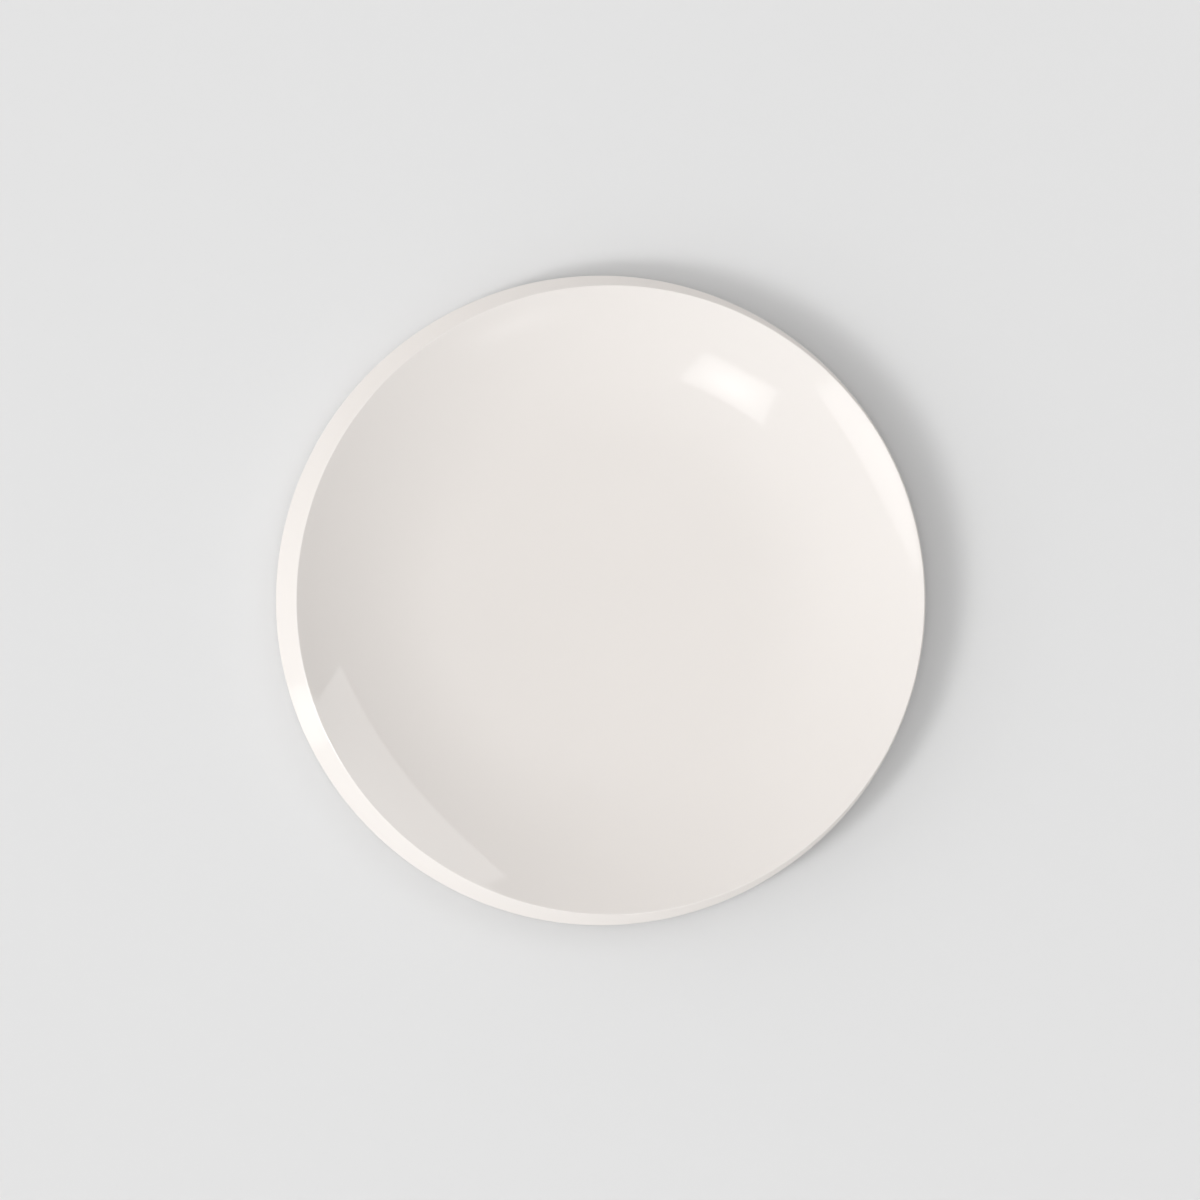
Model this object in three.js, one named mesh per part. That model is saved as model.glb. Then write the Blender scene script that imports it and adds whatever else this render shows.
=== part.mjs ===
// Dessert plate in glazed porcelain: a coupe plate whose rim is cut away by a crescent-shaped bevel.
// Millimetres and degrees, +Z up. The origin is on the plate's axis, in the plane that the foot ring stands on.
// The crescent is widest on the -X side and runs out on the +X side, and the plate is alike on both sides of Y = 0.
// Each solid is lofted through half-sections: in a section, x is the distance from the axis and y is the height.

import * as THREE from "three";

// Heights through the middle, over the glaze
const FOOT_WELL_DEPTH = 3.2;
const FLOOR_THICKNESS = 4.2;
const WELL_DEPTH = 9.8;

// Well: a slightly dished floor, and a wall that is steeper on the crescent's side, where it is shorter
const FLOOR_RADIUS = 50;
const FLOOR_DISH = 1.1;
const WALL_ANGLE_BY_CRESCENT = 19;
const WALL_ANGLE_OPPOSITE = 15.4;

// Rim: a level lip on a circle that touches the plate's own circle, and a bevel of one slope between the two
const PLATE_DIAMETER = 200;
const CRESCENT_WIDTH = 6.5;
const BEVEL_ANGLE = 34;
const LEAST_BEVEL_FLAT = 0.05;
const LEAST_EDGE_FLAT = 0.2;

// Roundings of the bare rim, which the glaze makes rounder
const LIP_ROUNDING = 0.15;
const EDGE_ROUNDING = 0.15;
const UNDER_RIM_ROUNDING = 0.9;

// Underside
const UNDERSIDE_RIM_ANGLE = 13;
const UNDERSIDE_FOOT_ANGLE = 6;
const COVE_ROUNDING = 2.5;

// Foot ring, measured on the bare body
const FOOT_DIAMETER = 115;
const FOOT_WIDTH = 3.5;
const FOOT_HEIGHT = 4.6;
const FOOT_DRAFT = 12;
const FOOT_ROUNDING = 0.6;

// Well under the foot ring
const FOOT_WELL_CROWN = 0.5;
const FOOT_WELL_ROUNDING = 1.6;

// Glaze
const GLAZE_THICKNESS = 0.3;
const GLAZE_LINE_HEIGHT = 1;

// Facets: steps round the axis, and along each stretch of a section. Points nearer than SAME_POINT are one point.
const TURN_STEPS = 72;
const STEPS = { floor: 2, wall: 6, lip: 3, edge: 2, underRim: 3, underside: 4, cove: 3, foot: 2, footWell: 3 };
const SAME_POINT = 0.001;

const PLATE_RADIUS = PLATE_DIAMETER / 2;
const FOOT_RADIUS = FOOT_DIAMETER / 2;
const FLOOR_HEIGHT = FOOT_WELL_DEPTH + FLOOR_THICKNESS;
const LIP_HEIGHT = FLOOR_HEIGHT + WELL_DEPTH;
const GLAZED_LIP_ROUNDING = LIP_ROUNDING + GLAZE_THICKNESS;
const GLAZED_EDGE_ROUNDING = EDGE_ROUNDING + GLAZE_THICKNESS;
const GLAZED_UNDER_RIM_ROUNDING = UNDER_RIM_ROUNDING + GLAZE_THICKNESS;

const radians = THREE.MathUtils.degToRad;
const point = (radius, height) => new THREE.Vector2(radius, height);
const heading = (degrees) => point(Math.cos(radians(degrees)), Math.sin(radians(degrees)));

// Directions in a section, which runs from the middle of the well out over the rim and back in underneath
const OUTWARDS = heading(0);
const INWARDS = heading(180);
const UP_FLOOR_EDGE = point(FLOOR_RADIUS, 2 * FLOOR_DISH).normalize();
const DOWN_BEVEL = heading(-BEVEL_ANGLE);
const DOWN_EDGE = heading(-90);
const UNDER_RIM = heading(180 + UNDERSIDE_RIM_ANGLE);
const UNDER_WALL = heading(180 + UNDERSIDE_FOOT_ANGLE);
const DOWN_FOOT = heading(270 - FOOT_DRAFT);
const UP_FOOT = heading(90 + FOOT_DRAFT);

// The air is always on the left of the direction that a section runs in.
const airSide = (direction) => point(-direction.y, direction.x);
const moved = (from, direction, distance) => from.clone().addScaledVector(direction, distance);
const atHeight = (from, direction, height) => moved(from, direction, (height - from.y) / direction.y);
const glazed = (bare, direction) => moved(bare, airSide(direction), GLAZE_THICKNESS);

// Angle from one direction to the next, positive to the left.
function turnBetween(before, after) {
  return Math.atan2(before.cross(after), before.dot(after));
}

// How far a rounding reaches from its corner along the straights on each side.
function roundingReach(radius, before, after) {
  return radius * Math.tan(Math.abs(turnBetween(before, after)) / 2);
}

// The radius that is asked for, or the largest that the straight beside the corner has room for.
function radiusWithin(room, radius, before, after) {
  return Math.min(radius, room / roundingReach(1, before, after));
}

// The arc that rounds off the corner between two straights.
function rounding(corner, before, after, radius) {
  const turn = turnBetween(before, after);
  const side = Math.sign(turn);
  const start = moved(corner, before, -roundingReach(radius, before, after));
  const centre = moved(start, airSide(before), side * radius);
  const from = airSide(before).multiplyScalar(-side).angle();
  return new THREE.EllipseCurve(centre.x, centre.y, radius, radius, from, from + turn, turn < 0);
}

// A smooth curve between two points, with its direction given at both.
function bend(start, startDirection, end, endDirection) {
  const handle = start.distanceTo(end) / 3;
  const startHandle = moved(start, startDirection, handle);
  const endHandle = moved(end, endDirection, -handle);
  return new THREE.CubicBezierCurve(start, startHandle, endHandle, end);
}

// Points along a run of curves, each cut into steps and set back from the air by an inset.
function trace(stretches, inset) {
  const points = [];
  for (const [curve, steps] of stretches) {
    for (let step = 0; step <= steps; step++) {
      const place = step / steps;
      const next = moved(curve.getPoint(place), airSide(curve.getTangent(place)), -inset);
      if (!points.length || next.distanceTo(points.at(-1)) > SAME_POINT) points.push(next);
    }
  }
  return points;
}

// Distance of the lip from the plate's axis. Where the crescent runs out, a thin flat is left between the roundings.
function lipRadius(turn, upWall) {
  const shift = CRESCENT_WIDTH / 2;
  const circleRadius = PLATE_RADIUS - shift;
  const onCircle = shift * Math.cos(turn) + Math.sqrt(circleRadius ** 2 - (shift * Math.sin(turn)) ** 2);
  const lipReach = roundingReach(GLAZED_LIP_ROUNDING, upWall, DOWN_BEVEL);
  const edgeReach = roundingReach(GLAZED_EDGE_ROUNDING, DOWN_BEVEL, DOWN_EDGE);
  const leastWidth = (lipReach + LEAST_BEVEL_FLAT + edgeReach) * DOWN_BEVEL.x;
  return Math.min(onCircle, PLATE_RADIUS - leastWidth);
}

// Height of the corner under the rim. It leaves a flat on the edge under the widest part of the bevel.
function underRimHeight() {
  const bevelDrop = CRESCENT_WIDTH * Math.tan(radians(BEVEL_ANGLE));
  const edgeReach = roundingReach(GLAZED_EDGE_ROUNDING, DOWN_BEVEL, DOWN_EDGE);
  const underRimReach = roundingReach(GLAZED_UNDER_RIM_ROUNDING, DOWN_EDGE, UNDER_RIM);
  return LIP_HEIGHT - bevelDrop - edgeReach - LEAST_EDGE_FLAT - underRimReach;
}

// The glazed surface from the middle of the well over the rim to the glaze line on the outside of the foot ring.
function outerStretches(turn) {
  const nearCrescent = (1 - Math.cos(turn)) / 2;
  const upWall = heading(THREE.MathUtils.lerp(WALL_ANGLE_OPPOSITE, WALL_ANGLE_BY_CRESCENT, nearCrescent));
  const footCorner = point(FOOT_RADIUS, 0);

  const middle = point(0, FLOOR_HEIGHT);
  const floorEdge = point(FLOOR_RADIUS, FLOOR_HEIGHT + FLOOR_DISH);
  const lip = point(lipRadius(turn, upWall), LIP_HEIGHT);
  const edge = moved(lip, DOWN_BEVEL, (PLATE_RADIUS - lip.x) / DOWN_BEVEL.x);
  const underRim = point(PLATE_RADIUS, underRimHeight());
  const cove = atHeight(glazed(footCorner, DOWN_FOOT), DOWN_FOOT, FOOT_HEIGHT);
  const glazeLine = glazed(atHeight(footCorner, DOWN_FOOT, GLAZE_LINE_HEIGHT), DOWN_FOOT);
  const coveRadius = radiusWithin(cove.distanceTo(glazeLine), COVE_ROUNDING, UNDER_WALL, DOWN_FOOT);

  const lipArc = rounding(lip, upWall, DOWN_BEVEL, GLAZED_LIP_ROUNDING);
  const edgeArc = rounding(edge, DOWN_BEVEL, DOWN_EDGE, GLAZED_EDGE_ROUNDING);
  const underRimArc = rounding(underRim, DOWN_EDGE, UNDER_RIM, GLAZED_UNDER_RIM_ROUNDING);
  const coveArc = rounding(cove, UNDER_WALL, DOWN_FOOT, coveRadius);
  return [
    [bend(middle, OUTWARDS, floorEdge, UP_FLOOR_EDGE), STEPS.floor],
    [bend(floorEdge, UP_FLOOR_EDGE, lipArc.getPoint(0), upWall), STEPS.wall],
    [lipArc, STEPS.lip],
    [edgeArc, STEPS.edge],
    [underRimArc, STEPS.underRim],
    [bend(underRimArc.getPoint(1), UNDER_RIM, coveArc.getPoint(0), UNDER_WALL), STEPS.underside],
    [coveArc, STEPS.cove],
    [new THREE.LineCurve(coveArc.getPoint(1), glazeLine), 1],
  ];
}

// The bare foot ring between the two glaze lines, with its flat standing face.
function bareFootStretches() {
  const outerCorner = point(FOOT_RADIUS, 0);
  const innerCorner = point(FOOT_RADIUS - FOOT_WIDTH, 0);
  return [
    [rounding(outerCorner, DOWN_FOOT, INWARDS, FOOT_ROUNDING), STEPS.foot],
    [rounding(innerCorner, INWARDS, UP_FOOT, FOOT_ROUNDING), STEPS.foot],
  ];
}

// The glazed surface inside the foot ring, from its glaze line up to the middle.
function footWellStretches() {
  const innerCorner = point(FOOT_RADIUS - FOOT_WIDTH, 0);
  const glazeLine = glazed(atHeight(innerCorner, UP_FOOT, GLAZE_LINE_HEIGHT), UP_FOOT);
  const ceilingEdge = atHeight(glazeLine, UP_FOOT, FOOT_WELL_DEPTH - FOOT_WELL_CROWN);
  const upCeiling = point(-ceilingEdge.x, 2 * FOOT_WELL_CROWN).normalize();
  const middle = point(0, FOOT_WELL_DEPTH);
  const sideLength = glazeLine.distanceTo(ceilingEdge);
  const cornerRadius = radiusWithin(sideLength, FOOT_WELL_ROUNDING, UP_FOOT, upCeiling);
  const cornerArc = rounding(ceilingEdge, UP_FOOT, upCeiling, cornerRadius);
  return [
    [new THREE.LineCurve(glazeLine, cornerArc.getPoint(0)), 1],
    [cornerArc, STEPS.footWell],
    [bend(cornerArc.getPoint(1), upCeiling, middle, INWARDS), STEPS.floor],
  ];
}

// Outlines of the three solids in one section. Each starts and ends on the axis.
function bodyOutline(turn) {
  return [
    ...trace(outerStretches(turn), GLAZE_THICKNESS),
    ...trace(bareFootStretches(), 0),
    ...trace(footWellStretches(), GLAZE_THICKNESS),
  ];
}

function outerGlazeOutline(turn) {
  const stretches = outerStretches(turn);
  return [...trace(stretches, 0), ...trace(stretches, GLAZE_THICKNESS).reverse()];
}

function footWellGlazeOutline() {
  const stretches = footWellStretches();
  return [...trace(stretches, GLAZE_THICKNESS).reverse(), ...trace(stretches, 0)];
}

// The two halves of a quad between neighbouring outlines, or the one half that is left beside the axis.
// The cut starts at the corner nearer the axis, so that glaze and body are cut alike where they are fused.
function halves([a, b, c, d], first, second) {
  const outwards = first.x === second.x ? first.y < second.y : first.x < second.x;
  const pair = outwards ? [[a, b, c], [a, c, d]] : [[a, b, d], [b, c, d]];
  return pair.filter((corners) => new Set(corners).size === corners.length).flat();
}

// A closed surface through the outlines round the axis. The points that lie on the axis are shared by all of them.
function loft(outlineAt) {
  const turns = Array.from({ length: TURN_STEPS }, (_, i) => (2 * Math.PI * i) / TURN_STEPS);
  const outlines = turns.map(outlineAt);
  const last = outlines[0].length - 1;
  const onAxis = (k) => k === 0 || k === last;
  const positions = outlines.flatMap((outline, i) =>
    outline.flatMap(({ x, y }, k) => {
      const radius = onAxis(k) ? 0 : x;
      return [radius * Math.cos(turns[i]), radius * Math.sin(turns[i]), y];
    }),
  );
  const vertex = (i, k) => (onAxis(k) ? k : (i % TURN_STEPS) * (last + 1) + k);
  const triangles = [];
  for (let i = 0; i < TURN_STEPS; i++) {
    for (let k = 0; k < last; k++) {
      const corners = [vertex(i, k), vertex(i, k + 1), vertex(i + 1, k + 1), vertex(i + 1, k)];
      triangles.push(...halves(corners, outlines[i][k], outlines[i][k + 1]));
    }
  }
  const geometry = new THREE.BufferGeometry();
  geometry.setAttribute("position", new THREE.Float32BufferAttribute(positions, 3));
  geometry.setIndex(triangles);
  geometry.computeVertexNormals();
  return geometry;
}

const barePorcelain = new THREE.MeshStandardMaterial({ color: 0xe6e0d6, roughness: 0.85, metalness: 0 });
const ivoryGlaze = new THREE.MeshStandardMaterial({ color: 0xede8e4, roughness: 0.1, metalness: 0 });
const ivoryGlazeUnderFoot = ivoryGlaze.clone();

function piece(name, outlineAt, material) {
  const mesh = new THREE.Mesh(loft(outlineAt), material);
  mesh.name = name;
  return mesh;
}

const plate = new THREE.Group();
plate.name = "dessert_plate";
plate.add(
  piece("porcelain_body", bodyOutline, barePorcelain),
  piece("outer_glaze", outerGlazeOutline, ivoryGlaze),
  piece("foot_well_glaze", footWellGlazeOutline, ivoryGlazeUnderFoot),
);

export default plate;
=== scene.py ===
import math

import bpy
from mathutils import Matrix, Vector


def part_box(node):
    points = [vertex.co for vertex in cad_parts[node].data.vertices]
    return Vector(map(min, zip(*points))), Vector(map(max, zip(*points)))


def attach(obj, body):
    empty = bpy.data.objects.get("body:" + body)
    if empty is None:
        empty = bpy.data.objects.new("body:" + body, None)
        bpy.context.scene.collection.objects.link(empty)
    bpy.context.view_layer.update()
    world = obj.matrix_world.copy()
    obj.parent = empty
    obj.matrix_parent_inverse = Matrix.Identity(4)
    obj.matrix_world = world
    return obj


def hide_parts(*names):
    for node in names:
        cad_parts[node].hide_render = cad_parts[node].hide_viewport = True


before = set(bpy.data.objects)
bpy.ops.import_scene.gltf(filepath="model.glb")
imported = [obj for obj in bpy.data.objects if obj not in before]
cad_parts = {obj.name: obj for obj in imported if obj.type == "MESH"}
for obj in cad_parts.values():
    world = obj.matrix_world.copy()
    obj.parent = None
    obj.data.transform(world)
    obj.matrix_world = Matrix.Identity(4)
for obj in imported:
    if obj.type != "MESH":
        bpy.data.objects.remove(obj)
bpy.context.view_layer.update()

# Dessert plate in glazed porcelain, on its CAD frame. Metres and radians, +Z up, the crescent widest
# towards -X. The plate's surfaces follow one rule: in each half-section through the axis, smooth bends
# run between rounded corners, and only the wall, the lip, the bevel and the edge change round the axis.

FULL_TURN = 2 * math.pi
QUARTER_TURN = math.pi / 2

# Sizes of the plate over its glaze, and of the bare foot ring
PLATE_LOW, PLATE_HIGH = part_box("outer_glaze")
PLATE_SIZES = {
    "Floor Height": 0.0074,
    "Floor Radius": 0.050,
    "Floor Dish": 0.0011,
    "Wall Angle by Crescent": math.radians(19),
    "Wall Angle Opposite": math.radians(15.4),
    "Lip Height": 0.0172,
    "Lip Rounding": 0.00045,
    "Plate Radius": (PLATE_HIGH.x - PLATE_LOW.x) / 2,
    "Crescent Width": 0.0065,
    "Bevel Angle": math.radians(34),
    "Least Bevel Flat": 0.00005,
    "Edge Rounding": 0.00045,
    "Least Edge Flat": 0.0002,
    "Under Rim Rounding": 0.0012,
    "Underside Rim Angle": math.radians(13),
    "Underside Foot Angle": math.radians(6),
    "Cove Rounding": 0.0025,
    "Foot Radius": 0.0575,
    "Foot Width": 0.0035,
    "Foot Height": 0.0046,
    "Foot Draft": math.radians(12),
    "Foot Rounding": 0.0006,
    "Foot Well Depth": 0.0032,
    "Foot Well Crown": 0.0005,
    "Foot Well Rounding": 0.0016,
    "Glaze Thickness": 0.0003,
    "Glaze Line Height": 0.001,
}

# Faces: steps along each stretch of a section, and turns round the axis
TURNS_OF_GLAZE = 256
TURNS_OF_BODY = 192
STEPS = {
    "floor": 16,
    "wall": 36,
    "lip": 10,
    "bevel": 4,
    "edge": 8,
    "edge flat": 3,
    "under rim": 8,
    "underside": 24,
    "cove": 10,
    "foot side": 3,
    "foot": 6,
    "standing face": 4,
    "foot well": 8,
    "ceiling": 16,
}
WELD_DISTANCE = 2e-6
SHARP_ANGLE = math.radians(40)

# How the glaze gathers on a rounding: below 0 it breaks thin, and above 0 it pools
GATHER = "glaze_gather"
BROKEN_THIN = -1
BROKEN = -0.5
POOLED = 1

# Colours, linear
IVORY = (0.80, 0.760, 0.727, 1)
IVORY_THIN = (0.825, 0.788, 0.756, 1)
IVORY_POOLED = (0.75, 0.720, 0.683, 1)
BISQUE = (0.79, 0.745, 0.67, 1)
BISQUE_RUBBED = (0.62, 0.585, 0.53, 1)
FLOOR_GREY = (0.767, 0.767, 0.767, 1)

# Finishes: roughness from 0 to 1, and depths and heights in metres
GLAZE_IOR = 1.52
GLAZE_ROUGHNESS = 0.02
GLAZE_CLOUD_ROUGHNESS = 0.02
GLAZE_CLOUDS_PER_METRE = 35
GLAZE_RIPPLE_DEPTH = 6e-6
BISQUE_ROUGHNESS = 0.88
BISQUE_GRAIN_DEPTH = 2e-5
RUBBED_HEIGHT = 0.0004
RUBBED_SHARE = 0.7
RUBBED_SMOOTHER_BY = 0.25
SCUFFS_PER_METRE = 900

# Sockets of the Mix node when it blends colours
MIX_SHARE = 0
MIX_FIRST = 6
MIX_SECOND = 7
MIX_RESULT = 2

# The picture: straight down, with the plate turned a little and a hair off the middle, in a square frame
PICTURE_TURN = math.radians(2)
PICTURE_MIDDLE = (-0.00012, 0.00014)
CAMERA_HEIGHT = 2.0
PLATE_SHARE_OF_FRAME = 0.5421
FLOOR_SIZE = 12
LAMP_HEIGHT = 10.0

# The room's glow in reflections: how strong it is at the horizon, and what it gains on the way up
GLOW_AT_HORIZON = 0.25
GLOW_RISE = 1.5


class Measure:
    """A number that may differ from point to point of a surface. Arithmetic on it adds Math nodes to its
    tree."""

    def __init__(self, tree, socket):
        self.tree = tree
        self.socket = socket

    def worked(self, operation, *others):
        node = self.tree.nodes.new("ShaderNodeMath")
        node.operation = operation
        for slot, value in zip(node.inputs, (self, *others)):
            join(self.tree, value, slot)
        return Measure(self.tree, node.outputs["Value"])

    def __add__(self, other):
        return self.worked("ADD", other)

    __radd__ = __add__

    def __mul__(self, other):
        return self.worked("MULTIPLY", other)

    __rmul__ = __mul__

    def __neg__(self):
        return self * -1

    def __sub__(self, other):
        return self.worked("SUBTRACT", other)

    def __rsub__(self, other):
        return -self + other

    def __truediv__(self, other):
        return self.worked("DIVIDE", other)


def cosine(angle):
    return angle.worked("COSINE") if isinstance(angle, Measure) else math.cos(angle)


def sine(angle):
    return angle.worked("SINE") if isinstance(angle, Measure) else math.sin(angle)


def tangent(angle):
    return sine(angle) / cosine(angle)


def join(tree, value, slot):
    """Gives a node's input a plain value, or the output of another node."""
    if isinstance(value, Measure):
        value = value.socket
    if isinstance(value, bpy.types.NodeSocket):
        tree.links.new(value, slot)
    else:
        slot.default_value = value


def add_node(tree, kind, inputs=None, **settings):
    node = tree.nodes.new(kind)
    for name, value in settings.items():
        setattr(node, name, value)
    for name, value in (inputs or {}).items():
        join(tree, value, node.inputs[name])
    return node


def new_tree(name, kind, inputs, outputs):
    """An empty node group with its named sockets, as (group, inputs by name, output node)."""
    tree = bpy.data.node_groups.new(name, kind)
    for label, socket_type in inputs.items():
        tree.interface.new_socket(label, in_out="INPUT", socket_type=socket_type)
    for label, socket_type in outputs.items():
        tree.interface.new_socket(label, in_out="OUTPUT", socket_type=socket_type)
    entry = tree.nodes.new("NodeGroupInput")
    given = {label: Measure(tree, entry.outputs[label]) for label in inputs}
    return tree, given, tree.nodes.new("NodeGroupOutput")


# Points of a section are pairs: distance from the axis, and height. Headings are angles from straight
# outwards.
def moved(spot, heading, distance):
    radius, height = spot
    return radius + cosine(heading) * distance, height + sine(heading) * distance


def at_height(spot, heading, height):
    return moved(spot, heading, (height - spot[1]) / sine(heading))


def glazed(spot, heading, thickness):
    """The point on the glaze over a point of the bare body. The air is on the left of the way a section
    runs."""
    return moved(spot, heading + QUARTER_TURN, thickness)


def along_and_turn(tree):
    """Where a point of a flat strip lies: its share of the way along the section, and its turn round the
    axis."""
    place = add_node(tree, "GeometryNodeInputPosition")
    parts = add_node(tree, "ShaderNodeSeparateXYZ", {"Vector": place.outputs["Position"]})
    return Measure(tree, parts.outputs["X"]) + 0.5, Measure(tree, parts.outputs["Y"])


def laid_strip(tree, given, along, turn, spot):
    """A flat strip of faces, rolled up round the axis with each of its points at its spot of the section."""
    grid = add_node(tree, "GeometryNodeMeshGrid", {
        "Size X": 1,
        "Size Y": FULL_TURN,
        "Vertices X": given["Steps"] + 1,
        "Vertices Y": given["Turns"] + 1,
    })
    marked = add_node(tree, "GeometryNodeStoreNamedAttribute", {
        "Geometry": grid.outputs["Mesh"],
        "Name": GATHER,
        "Value": given["Gather"] * sine(along * math.pi),
    }, data_type="FLOAT", domain="POINT")
    radius, height = spot
    place = add_node(tree, "ShaderNodeCombineXYZ", {
        "X": radius * cosine(turn),
        "Y": radius * sine(turn),
        "Z": height,
    })
    laid = add_node(tree, "GeometryNodeSetPosition", {
        "Geometry": marked.outputs["Geometry"],
        "Position": place.outputs["Vector"],
    })
    return laid.outputs["Geometry"]


STRIP_INPUTS = {"Gather": "NodeSocketFloat", "Steps": "NodeSocketInt", "Turns": "NodeSocketInt"}


def floats(*labels):
    return {label: "NodeSocketFloat" for label in labels}


def make_bend():
    """A smooth curve between two points of a section, with its heading given at both."""
    tree, given, result = new_tree(
        "plate_bend",
        "GeometryNodeTree",
        floats("Start Radius", "Start Height", "Start Heading", "End Radius", "End Height", "End Heading")
        | STRIP_INPUTS,
        {"Mesh": "NodeSocketGeometry"},
    )
    along, turn = along_and_turn(tree)
    start = given["Start Radius"], given["Start Height"]
    end = given["End Radius"], given["End Height"]
    across = end[0] - start[0]
    up = end[1] - start[1]
    handle = (across * across + up * up).worked("SQRT") / 3
    start_handle = moved(start, given["Start Heading"], handle)
    end_handle = moved(end, given["End Heading"], -handle)

    left = 1 - along
    shares = left * left * left, 3 * left * left * along, 3 * left * along * along, along * along * along
    corners = start, start_handle, end_handle, end
    radius = sum(share * corner[0] for share, corner in zip(shares, corners))
    height = sum(share * corner[1] for share, corner in zip(shares, corners))
    join(tree, laid_strip(tree, given, along, turn, (radius, height)), result.inputs["Mesh"])
    return tree


def make_rounding():
    """The arc that rounds off the corner between two straights of a section, and the points where it meets
    them."""
    ends = floats("Start Radius", "Start Height", "End Radius", "End Height")
    tree, given, result = new_tree(
        "plate_rounding",
        "GeometryNodeTree",
        floats("Corner Radius", "Corner Height", "Heading Before", "Heading After", "Rounding")
        | STRIP_INPUTS,
        {"Mesh": "NodeSocketGeometry"} | ends,
    )
    along, turn = along_and_turn(tree)
    corner = given["Corner Radius"], given["Corner Height"]
    before = given["Heading Before"]
    after = given["Heading After"]
    turning = after - before
    side = turning.worked("SIGN")
    reach = given["Rounding"] * tangent(turning.worked("ABSOLUTE") / 2)
    start = moved(corner, before, -reach)
    end = moved(corner, after, reach)
    centre = moved(start, before + QUARTER_TURN, side * given["Rounding"])
    spot = moved(centre, before + turning * along + QUARTER_TURN, -side * given["Rounding"])
    join(tree, laid_strip(tree, given, along, turn, spot), result.inputs["Mesh"])
    for label, value in zip(ends, (*start, *end)):
        join(tree, value, result.inputs[label])
    return tree


plate_bend = make_bend()
plate_rounding = make_rounding()


class Section:
    """The stretches of one surface of the plate, which are welded where they meet, at the seam and on the
    axis."""

    def __init__(self, tree, turns):
        self.tree = tree
        self.turns = turns
        self.strips = []

    def stretch(self, group, values, steps, gather):
        values = values | {"Steps": STEPS[steps], "Turns": self.turns, "Gather": gather}
        node = add_node(self.tree, "GeometryNodeGroup", values, node_tree=group)
        self.strips.append(node.outputs["Mesh"])
        return node

    def bend(self, start, start_heading, end, end_heading, steps):
        self.stretch(plate_bend, {
            "Start Radius": start[0],
            "Start Height": start[1],
            "Start Heading": start_heading,
            "End Radius": end[0],
            "End Height": end[1],
            "End Heading": end_heading,
        }, steps, gather=0)

    def round_off(self, corner, before, after, rounding, steps, gather=0):
        """Rounds off a corner, and gives the points where the rounding starts and ends."""
        node = self.stretch(plate_rounding, {
            "Corner Radius": corner[0],
            "Corner Height": corner[1],
            "Heading Before": before,
            "Heading After": after,
            "Rounding": rounding,
        }, steps, gather)
        return self.end_of(node, "Start"), self.end_of(node, "End")

    def end_of(self, node, end):
        return tuple(Measure(self.tree, node.outputs[f"{end} {way}"]) for way in ("Radius", "Height"))

    def welded(self):
        return welded(self.tree, self.strips)


def welded(tree, strips):
    together = add_node(tree, "GeometryNodeJoinGeometry")
    for strip in strips:
        join(tree, strip, together.inputs["Geometry"])
    weld = add_node(tree, "GeometryNodeMergeByDistance", {
        "Geometry": together.outputs["Geometry"],
        "Distance": WELD_DISTANCE,
    })
    return weld.outputs["Geometry"]


# Headings that the stretches share
INWARDS = -math.pi
DOWN = -QUARTER_TURN


def down_foot(size):
    return DOWN - size["Foot Draft"]


def up_foot(size):
    return DOWN - math.pi + size["Foot Draft"]


def edge_reach(size):
    """How far the edge's rounding reaches from its corner."""
    return size["Edge Rounding"] * tangent((QUARTER_TURN - size["Bevel Angle"]) / 2)


def lip_radius(size, turn, up_wall):
    """Distance of the lip from the axis. The lip's circle touches the plate's, and where the crescent runs
    out a thin flat is left between the roundings."""
    shift = size["Crescent Width"] / 2
    circle_radius = size["Plate Radius"] - shift
    aside = shift * sine(turn)
    on_circle = shift * cosine(turn) + (circle_radius * circle_radius - aside * aside).worked("SQRT")
    lip_reach = size["Lip Rounding"] * tangent((up_wall + size["Bevel Angle"]) / 2)
    least_width = (lip_reach + size["Least Bevel Flat"] + edge_reach(size)) * cosine(size["Bevel Angle"])
    return on_circle.worked("MINIMUM", size["Plate Radius"] - least_width)


def under_rim_height(size, under_rim):
    """Height of the corner under the rim, which leaves a flat on the edge under the widest part of the
    bevel."""
    bevel_drop = size["Crescent Width"] * tangent(size["Bevel Angle"])
    under_rim_reach = size["Under Rim Rounding"] * tangent((DOWN - under_rim) / 2)
    return size["Lip Height"] - bevel_drop - edge_reach(size) - size["Least Edge Flat"] - under_rim_reach


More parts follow.
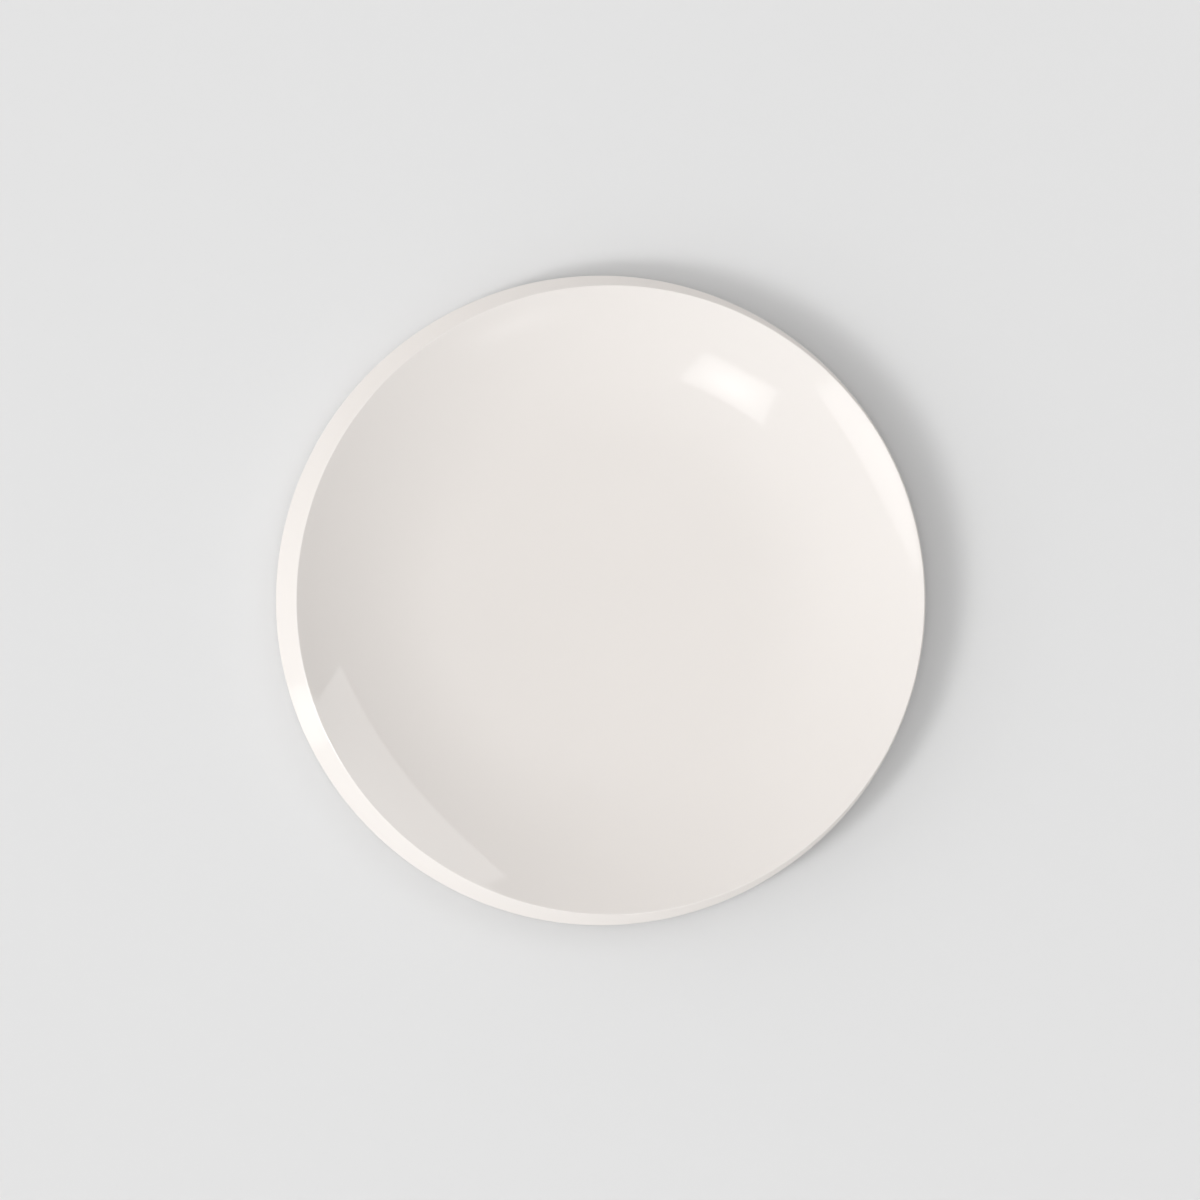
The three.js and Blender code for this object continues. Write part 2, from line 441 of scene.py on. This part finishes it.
def outer_surface(tree, size, turns):
    """The glazed surface from the middle of the well over the rim to the glaze line on the outside of the
    foot."""
    _, turn = along_and_turn(tree)
    near_crescent = (1 - cosine(turn)) / 2
    steeper = size["Wall Angle by Crescent"] - size["Wall Angle Opposite"]
    up_wall = size["Wall Angle Opposite"] + steeper * near_crescent
    up_floor_edge = (2 * size["Floor Dish"] / size["Floor Radius"]).worked("ARCTANGENT")
    down_bevel = -size["Bevel Angle"]
    under_rim = INWARDS + size["Underside Rim Angle"]
    under_wall = INWARDS + size["Underside Foot Angle"]
    down = down_foot(size)

    middle = 0, size["Floor Height"]
    floor_edge = size["Floor Radius"], size["Floor Height"] + size["Floor Dish"]
    lip = lip_radius(size, turn, up_wall), size["Lip Height"]
    edge = moved(lip, down_bevel, (size["Plate Radius"] - lip[0]) / cosine(down_bevel))
    under_rim_corner = size["Plate Radius"], under_rim_height(size, under_rim)
    foot_corner = size["Foot Radius"], 0
    thickness = size["Glaze Thickness"]
    cove = at_height(glazed(foot_corner, down, thickness), down, size["Foot Height"])
    glaze_line = glazed(at_height(foot_corner, down, size["Glaze Line Height"]), down, thickness)

    section = Section(tree, turns)
    lip_start, lip_end = section.round_off(
        lip, up_wall, down_bevel, size["Lip Rounding"], "lip", BROKEN_THIN)
    edge_start, edge_end = section.round_off(
        edge, down_bevel, DOWN, size["Edge Rounding"], "edge", BROKEN_THIN)
    rim_start, rim_end = section.round_off(
        under_rim_corner, DOWN, under_rim, size["Under Rim Rounding"], "under rim", BROKEN)
    cove_start, cove_end = section.round_off(cove, under_wall, down, size["Cove Rounding"], "cove", POOLED)
    section.bend(middle, 0, floor_edge, up_floor_edge, "floor")
    section.bend(floor_edge, up_floor_edge, lip_start, up_wall, "wall")
    section.bend(lip_end, down_bevel, edge_start, down_bevel, "bevel")
    section.bend(edge_end, DOWN, rim_start, DOWN, "edge flat")
    section.bend(rim_end, under_rim, cove_start, under_wall, "underside")
    section.bend(cove_end, down, glaze_line, down, "foot side")
    return section.welded()


def bare_foot(tree, size, turns):
    """The bare foot ring between the two glaze lines, with its flat standing face."""
    down = down_foot(size)
    up = up_foot(size)
    outer_corner = size["Foot Radius"], 0
    inner_corner = size["Foot Radius"] - size["Foot Width"], 0
    outer_line = at_height(outer_corner, down, size["Glaze Line Height"])
    inner_line = at_height(inner_corner, up, size["Glaze Line Height"])

    section = Section(tree, turns)
    outer_start, outer_end = section.round_off(outer_corner, down, INWARDS, size["Foot Rounding"], "foot")
    inner_start, inner_end = section.round_off(inner_corner, INWARDS, up, size["Foot Rounding"], "foot")
    section.bend(outer_line, down, outer_start, down, "foot side")
    section.bend(outer_end, INWARDS, inner_start, INWARDS, "standing face")
    section.bend(inner_end, up, inner_line, up, "foot side")
    return section.welded()


def foot_well_surface(tree, size, turns):
    """The glazed surface inside the foot ring, from its glaze line up to the middle."""
    up = up_foot(size)
    inner_corner = size["Foot Radius"] - size["Foot Width"], 0
    glaze_line = glazed(at_height(inner_corner, up, size["Glaze Line Height"]), up, size["Glaze Thickness"])
    ceiling_edge = at_height(glaze_line, up, size["Foot Well Depth"] - size["Foot Well Crown"])
    up_ceiling = INWARDS - (2 * size["Foot Well Crown"] / ceiling_edge[0]).worked("ARCTANGENT")
    middle = 0, size["Foot Well Depth"]

    section = Section(tree, turns)
    corner_start, corner_end = section.round_off(
        ceiling_edge, up, up_ceiling, size["Foot Well Rounding"], "foot well", POOLED)
    section.bend(glaze_line, up, corner_start, up, "foot side")
    section.bend(corner_end, up_ceiling, middle, INWARDS, "ceiling")
    return section.welded()


def set_back(tree, surface, distance):
    """The body's surface under a glazed one."""
    normal = add_node(tree, "GeometryNodeInputNormal")
    inwards = add_node(tree, "ShaderNodeVectorMath", {
        "Vector": normal.outputs["Normal"],
        "Scale": -distance,
    }, operation="SCALE")
    moved_back = add_node(tree, "GeometryNodeSetPosition", {
        "Geometry": surface,
        "Offset": inwards.outputs["Vector"],
    })
    return moved_back.outputs["Geometry"]


def body_surface(tree, size, turns):
    thickness = size["Glaze Thickness"]
    return welded(tree, [
        set_back(tree, outer_surface(tree, size, turns), thickness),
        bare_foot(tree, size, turns),
        set_back(tree, foot_well_surface(tree, size, turns), thickness),
    ])


def shaped_piece(name, node, surface, turns, material, wall=None):
    """A finished piece: its surface made by a tree of its own, given a wall if it is a coat, and made a
    plain mesh."""
    inputs = floats(*PLATE_SIZES) | {"Turns": "NodeSocketInt"}
    tree, size, result = new_tree(f"{name}_shape", "GeometryNodeTree", inputs, {"Mesh": "NodeSocketGeometry"})
    smooth = add_node(tree, "GeometryNodeSetShadeSmooth", {"Geometry": surface(tree, size, size["Turns"])})
    real = add_node(tree, "GeometryNodeRealizeInstances", {"Geometry": smooth.outputs["Geometry"]})
    dressed = add_node(tree, "GeometryNodeSetMaterial", {
        "Geometry": real.outputs["Geometry"],
        "Material": material,
    })
    join(tree, dressed.outputs["Geometry"], result.inputs["Mesh"])

    piece = bpy.data.objects.new(name, bpy.data.meshes.new(name))
    bpy.context.scene.collection.objects.link(piece)
    shape = piece.modifiers.new("shape", "NODES")
    shape.node_group = tree
    values = PLATE_SIZES | {"Turns": turns}
    for item in tree.interface.items_tree:
        if item.in_out == "INPUT":
            shape[item.identifier] = values[item.name]
    if wall:
        coat = piece.modifiers.new("coat", "SOLIDIFY")
        coat.thickness = wall
        coat.offset = -1
        coat.use_even_offset = True

    depsgraph = bpy.context.evaluated_depsgraph_get()
    made = bpy.data.meshes.new_from_object(
        piece.evaluated_get(depsgraph), preserve_all_data_layers=True, depsgraph=depsgraph)
    piece.modifiers.clear()
    made.name = name
    made.set_sharp_from_angle(angle=SHARP_ANGLE)
    piece.data = made
    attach(piece, "root")
    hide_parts(node)


# Finishes
def noise(tree, scale, detail=2.0, roughness=0.5):
    """Soft patches of a size set by scale, in patches a metre, from 0 to 1."""
    place = add_node(tree, "ShaderNodeTexCoord")
    texture = add_node(tree, "ShaderNodeTexNoise", {
        "Vector": place.outputs["Object"],
        "Scale": scale,
        "Detail": detail,
        "Roughness": roughness,
    })
    return Measure(tree, texture.outputs["Fac"])


def make_kiln_tone():
    """The slight drift of a fired colour over a piece: one colour, lighter and darker by a share."""
    tree, given, result = new_tree(
        "kiln_tone",
        "ShaderNodeTree",
        {"Color": "NodeSocketColor"} | floats("Patches per Metre", "Spread"),
        {"Color": "NodeSocketColor"},
    )
    drift = noise(tree, given["Patches per Metre"], detail=3.0) - 0.5
    share = 1 + drift * 2 * given["Spread"]
    toned = add_node(tree, "ShaderNodeVectorMath", {
        "Vector": given["Color"],
        "Scale": share,
    }, operation="SCALE")
    join(tree, toned.outputs["Vector"], result.inputs["Color"])
    return tree


def make_surface_ripple():
    """The slight unevenness of a surface: broad waves and a fine grain, as a height from about 0 to 1."""
    tree, given, result = new_tree(
        "surface_ripple",
        "ShaderNodeTree",
        floats("Waves per Metre", "Grains per Metre", "Grain Share"),
        floats("Height"),
    )
    waves = noise(tree, given["Waves per Metre"], detail=1.0)
    grain = noise(tree, given["Grains per Metre"], detail=2.0)
    height = waves * (1 - given["Grain Share"]) + grain * given["Grain Share"]
    join(tree, height, result.inputs["Height"])
    return tree


def new_finish(name):
    """A material with its Principled BSDF, as (material, tree, shader)."""
    material = bpy.data.materials.new(name)
    material.use_nodes = True
    tree = material.node_tree
    return material, tree, tree.nodes["Principled BSDF"]


def place_group(tree, group, inputs):
    return add_node(tree, "ShaderNodeGroup", inputs, node_tree=group)


def bumped(tree, height, depth):
    bump = add_node(tree, "ShaderNodeBump", {"Height": height, "Distance": depth, "Strength": 1.0})
    return bump.outputs["Normal"]


def blended(tree, share, first, second):
    mix = add_node(tree, "ShaderNodeMix", {
        MIX_SHARE: share,
        MIX_FIRST: first,
        MIX_SECOND: second,
    }, data_type="RGBA")
    return mix.outputs[MIX_RESULT]


kiln_tone = make_kiln_tone()
surface_ripple = make_surface_ripple()


def make_ivory_glaze():
    """A glossy ivory-white glaze, which breaks paler over the arrises and pools deeper in the coves."""
    material, tree, shader = new_finish("ivory_glaze")
    gather = Measure(tree, add_node(tree, "ShaderNodeAttribute", attribute_name=GATHER).outputs["Fac"])
    thin = (-gather).worked("MAXIMUM", 0.0)
    pooled = gather.worked("MAXIMUM", 0.0)
    broken = blended(tree, thin, IVORY, IVORY_THIN)
    gathered = blended(tree, pooled, broken, IVORY_POOLED)
    tone = place_group(tree, kiln_tone, {"Color": gathered, "Patches per Metre": 22, "Spread": 0.012})
    ripple = place_group(tree, surface_ripple, {
        "Waves per Metre": 70,
        "Grains per Metre": 420,
        "Grain Share": 0.12,
    })
    clouds = noise(tree, GLAZE_CLOUDS_PER_METRE, detail=4.0)
    join(tree, tone.outputs["Color"], shader.inputs["Base Color"])
    join(tree, GLAZE_ROUGHNESS + clouds * GLAZE_CLOUD_ROUGHNESS, shader.inputs["Roughness"])
    join(tree, bumped(tree, ripple.outputs["Height"], GLAZE_RIPPLE_DEPTH), shader.inputs["Normal"])
    shader.inputs["IOR"].default_value = GLAZE_IOR
    return material


def make_bare_porcelain():
    """The dry, fine-grained body that shows on the foot ring, rubbed greyer where it stands."""
    material, tree, shader = new_finish("bare_porcelain")
    place = add_node(tree, "ShaderNodeTexCoord")
    parts = add_node(tree, "ShaderNodeSeparateXYZ", {"Vector": place.outputs["Object"]})
    height = Measure(tree, parts.outputs["Z"])
    low = add_node(tree, "ShaderNodeMapRange", {
        "Value": height,
        "From Min": 0.0,
        "From Max": RUBBED_HEIGHT,
        "To Min": 1.0,
        "To Max": 0.0,
    })
    scuffs = noise(tree, SCUFFS_PER_METRE, detail=4.0, roughness=0.7)
    rubbed = Measure(tree, low.outputs["Result"]) * scuffs * RUBBED_SHARE
    worn = blended(tree, rubbed, BISQUE, BISQUE_RUBBED)
    tone = place_group(tree, kiln_tone, {"Color": worn, "Patches per Metre": 1500, "Spread": 0.05})
    ripple = place_group(tree, surface_ripple, {
        "Waves per Metre": 900,
        "Grains per Metre": 6000,
        "Grain Share": 0.5,
    })
    join(tree, tone.outputs["Color"], shader.inputs["Base Color"])
    join(tree, BISQUE_ROUGHNESS - rubbed * RUBBED_SMOOTHER_BY, shader.inputs["Roughness"])
    join(tree, bumped(tree, ripple.outputs["Height"], BISQUE_GRAIN_DEPTH), shader.inputs["Normal"])
    return material


def make_grey_paper():
    material, tree, shader = new_finish("grey_paper")
    tone = place_group(tree, kiln_tone, {"Color": FLOOR_GREY, "Patches per Metre": 60, "Spread": 0.002})
    join(tree, tone.outputs["Color"], shader.inputs["Base Color"])
    shader.inputs["Roughness"].default_value = 1.0
    shader.inputs["Specular IOR Level"].default_value = 0.0
    return material


# Studio
def make_floor():
    half = FLOOR_SIZE / 2
    mesh = bpy.data.meshes.new("floor")
    corners = [(-half, -half, 0), (half, -half, 0), (half, half, 0), (-half, half, 0)]
    mesh.from_pydata(corners, [], [(0, 1, 2, 3)])
    mesh.materials.append(make_grey_paper())
    floor = bpy.data.objects.new("floor", mesh)
    bpy.context.scene.collection.objects.link(floor)


def plate_turn(azimuth):
    """The turn round the plate's axis for an angle in the picture, counter-clockwise from its right."""
    return math.radians(azimuth) - PICTURE_TURN


def picture_direction(azimuth, zenith):
    """The direction at an angle in the picture, and at an angle from straight up."""
    turn = plate_turn(azimuth)
    tilt = math.radians(zenith)
    return Vector((math.sin(tilt) * math.cos(turn), math.sin(tilt) * math.sin(turn), math.cos(tilt)))


def softbox_lamp(name, width, depth, edge, middle):
    """A rectangular lamp that may be brighter in its middle. Edge and middle are how bright it looks, with
    white at 1."""
    lamp = bpy.data.lights.new(name, "AREA")
    lamp.shape = "RECTANGLE"
    lamp.size = width
    lamp.size_y = depth
    lamp.energy = math.pi * width * depth
    lamp.use_nodes = True
    tree = lamp.node_tree
    spot = add_node(tree, "ShaderNodeNewGeometry")
    parts = add_node(tree, "ShaderNodeSeparateXYZ", {"Vector": spot.outputs["Parametric"]})
    across = Measure(tree, parts.outputs["X"]) * 2 - 1
    along = Measure(tree, parts.outputs["Y"]) * 2 - 1
    hump = (1 - across * across) * (1 - along * along)
    join(tree, edge + hump * hump * (middle - edge), tree.nodes["Emission"].inputs["Strength"])
    softbox = bpy.data.objects.new(name, lamp)
    softbox.visible_camera = False
    bpy.context.scene.collection.objects.link(softbox)
    return softbox


def hang_softbox(name, azimuth, out, aside, edge, middle):
    """A level softbox over the plate. Out is its reach from the plate's axis at its azimuth in the picture,
    and aside its reach clockwise of that."""
    near, far = out
    left, right = aside
    softbox = softbox_lamp(name, right - left, far - near, edge, middle)
    turn = plate_turn(azimuth)
    outwards = Vector((math.cos(turn), math.sin(turn), 0)) * (near + far) / 2
    clockwise = Vector((math.sin(turn), -math.cos(turn), 0)) * (left + right) / 2
    softbox.location = outwards + clockwise + Vector((0, 0, LAMP_HEIGHT))
    softbox.rotation_euler = (0, 0, turn - QUARTER_TURN)
    return softbox


def stand_softbox(name, azimuth, zenith, distance, width, height, edge, middle):
    """A softbox on a stand, turned towards the plate."""
    softbox = softbox_lamp(name, width, height, edge, middle)
    direction = picture_direction(azimuth, zenith)
    softbox.location = direction * distance
    softbox.rotation_euler = direction.to_track_quat("Z", "Y").to_euler()


def make_room_light(level, lean, azimuth, backdrop, horizon, ceiling, glow, shade, glow_azimuth):
    """Light from all round that leans to one side. The camera sees a plain pale backdrop, and reflections
    see a room that is paler overhead than at the horizon, glows half-way up on one side and is in shade on
    the other."""
    world = bpy.data.worlds.new("room_light")
    world.use_nodes = True
    tree = world.node_tree
    background = tree.nodes["Background"]
    background.inputs["Color"].default_value = (1, 1, 1, 1)
    place = add_node(tree, "ShaderNodeTexCoord").outputs["Generated"]
    parts = add_node(tree, "ShaderNodeSeparateXYZ", {"Vector": place})
    overhead = Measure(tree, parts.outputs["Z"]).worked("MAXIMUM", 0.0)

    def facing(side):
        direction = picture_direction(side, zenith=90)
        share = add_node(tree, "ShaderNodeVectorMath", {0: place, 1: direction}, operation="DOT_PRODUCT")
        return Measure(tree, share.outputs["Value"])

    lit = level * (1 + lean * facing(azimuth))
    sided = (GLOW_AT_HORIZON + GLOW_RISE * overhead) * facing(glow_azimuth)
    glowing = glow * sided.worked("MAXIMUM", 0.0) + shade * sided.worked("MINIMUM", 0.0)
    room = horizon + (ceiling - horizon) * overhead * overhead + glowing
    room = room.worked("MAXIMUM", 0.0)
    path = add_node(tree, "ShaderNodeLightPath")
    rays = {name: Measure(tree, socket) for name, socket in path.outputs.items()}
    mirrored = (rays["Is Glossy Ray"] + rays["Is Transmission Ray"]).worked("MINIMUM", 1.0)
    camera = rays["Is Camera Ray"]
    shown = room * mirrored + backdrop * camera
    join(tree, lit * (1 - mirrored) * (1 - camera) + shown, background.inputs["Strength"])
    bpy.context.scene.world = world


def make_camera():
    plate_width = 2 * PLATE_SIZES["Plate Radius"]
    camera = bpy.data.cameras.new("camera")
    to_lip = CAMERA_HEIGHT - PLATE_SIZES["Lip Height"]
    camera.lens = camera.sensor_width * to_lip * PLATE_SHARE_OF_FRAME / plate_width
    viewpoint = bpy.data.objects.new("camera", camera)
    viewpoint.location = (*PICTURE_MIDDLE, CAMERA_HEIGHT)
    viewpoint.rotation_euler = (0, 0, -PICTURE_TURN)
    bpy.context.scene.collection.objects.link(viewpoint)
    bpy.context.scene.camera = viewpoint


ivory_glaze = make_ivory_glaze()
bare_porcelain = make_bare_porcelain()
COAT = PLATE_SIZES["Glaze Thickness"]
shaped_piece("plate_glaze", "outer_glaze", outer_surface, TURNS_OF_GLAZE, ivory_glaze, COAT)
shaped_piece(
    "underfoot_glaze", "foot_well_glaze", foot_well_surface, TURNS_OF_GLAZE, ivory_glaze, COAT)
shaped_piece("plate_body", "porcelain_body", body_surface, TURNS_OF_BODY, bare_porcelain)

make_floor()
make_room_light(
    level=0.515,
    lean=0.95,
    azimuth=182,
    backdrop=0.76,
    horizon=0.2,
    ceiling=0.87,
    glow=2.1,
    shade=1.2,
    glow_azimuth=242,
)
hang_softbox("key_softbox", azimuth=208, out=(4.68, 14.5), aside=(-1.54, 2.40), edge=1.5, middle=19)
hang_softbox("small_softbox", azimuth=239.6, out=(3.13, 4.23), aside=(-0.66, 0.66), edge=1.75, middle=3.9)
hang_softbox("faint_softbox", azimuth=290, out=(5.0, 5.9), aside=(-1.15, 1.25), edge=0.1, middle=0.95)
hang_softbox("fill_softbox", azimuth=37.8, out=(4.81, 8.9), aside=(-2.99, 2.18), edge=1.4, middle=2.3)
stand_softbox("low_softbox", azimuth=201, zenith=71, distance=10, width=1.9, height=2.4, edge=1.1, middle=1.7)
top_scrim = hang_softbox("top_scrim", azimuth=200, out=(-1.5, 1.5), aside=(-1.5, 1.5), edge=6.9, middle=6.9)
top_scrim.visible_glossy = False
make_camera()

bpy.context.scene.view_settings.view_transform = "Standard"
